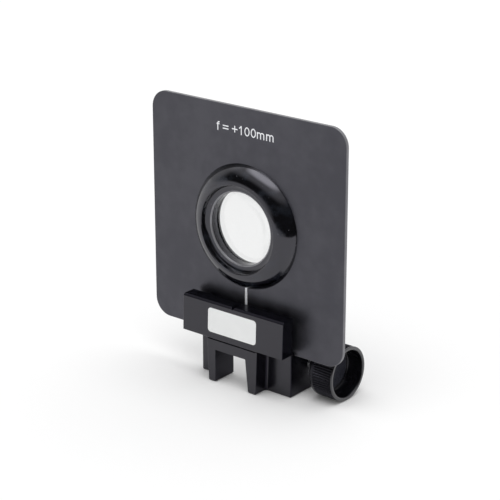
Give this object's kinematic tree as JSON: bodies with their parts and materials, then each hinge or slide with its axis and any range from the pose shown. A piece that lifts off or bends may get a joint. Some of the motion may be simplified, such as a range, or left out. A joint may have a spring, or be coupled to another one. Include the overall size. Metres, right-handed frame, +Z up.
{
  "type": "converging lens",
  "caption": "Biconvex lens in a domed ring on a square plate, standing in a bench rider that sits over a rail and is clamped by a side screw with a knurled knob.",
  "frame": {"origin": "middle of the seat that rests on the rail, under the plate's middle plane", "axes": "+Z up, +X across the rail towards the clamp knob, +Y along the rail away from the front"},
  "size_m": [0.13, 0.0419, 0.154],
  "materials": {
    "plate_black": "satin black lacquer",
    "ring_black": "glossy",
    "glass": "polished, clear",
    "rider_black": "moulded, satin",
    "knob_black": "moulded, satin",
    "label_white": "smooth film",
    "screw_steel": "turned",
    "pad_brass": "turned"
  },
  "bodies": {
    "rider": {"rider_body": "rider_black", "lens_plate": "plate_black", "front_ring": "ring_black", "rear_ring": "ring_black", "lens": "glass", "front_bar": "rider_black", "bar_screws": "screw_steel", "label": "label_white"},
    "pad": {"pressure_pad": "pad_brass"},
    "screw": {"clamp_screw": "screw_steel", "clamp_knob": "knob_black"}
  },
  "joints": [
    {"name": "pad_slide", "type": "slide", "parent": "rider", "child": "pad", "axis": [-1, 0, 0], "range_m": [0, 0.00705]},
    {"name": "screw_turn", "type": "hinge", "parent": "pad", "child": "screw", "pos_m": [0.03, 0.0136, -0.00385], "axis": [-1, 0, 0], "range_deg": [0, 2520]}
  ],
  "couplings": [
    {"joint": "pad_slide", "follows": "screw_turn", "m_per_rad": 0.00015915}
  ]
}
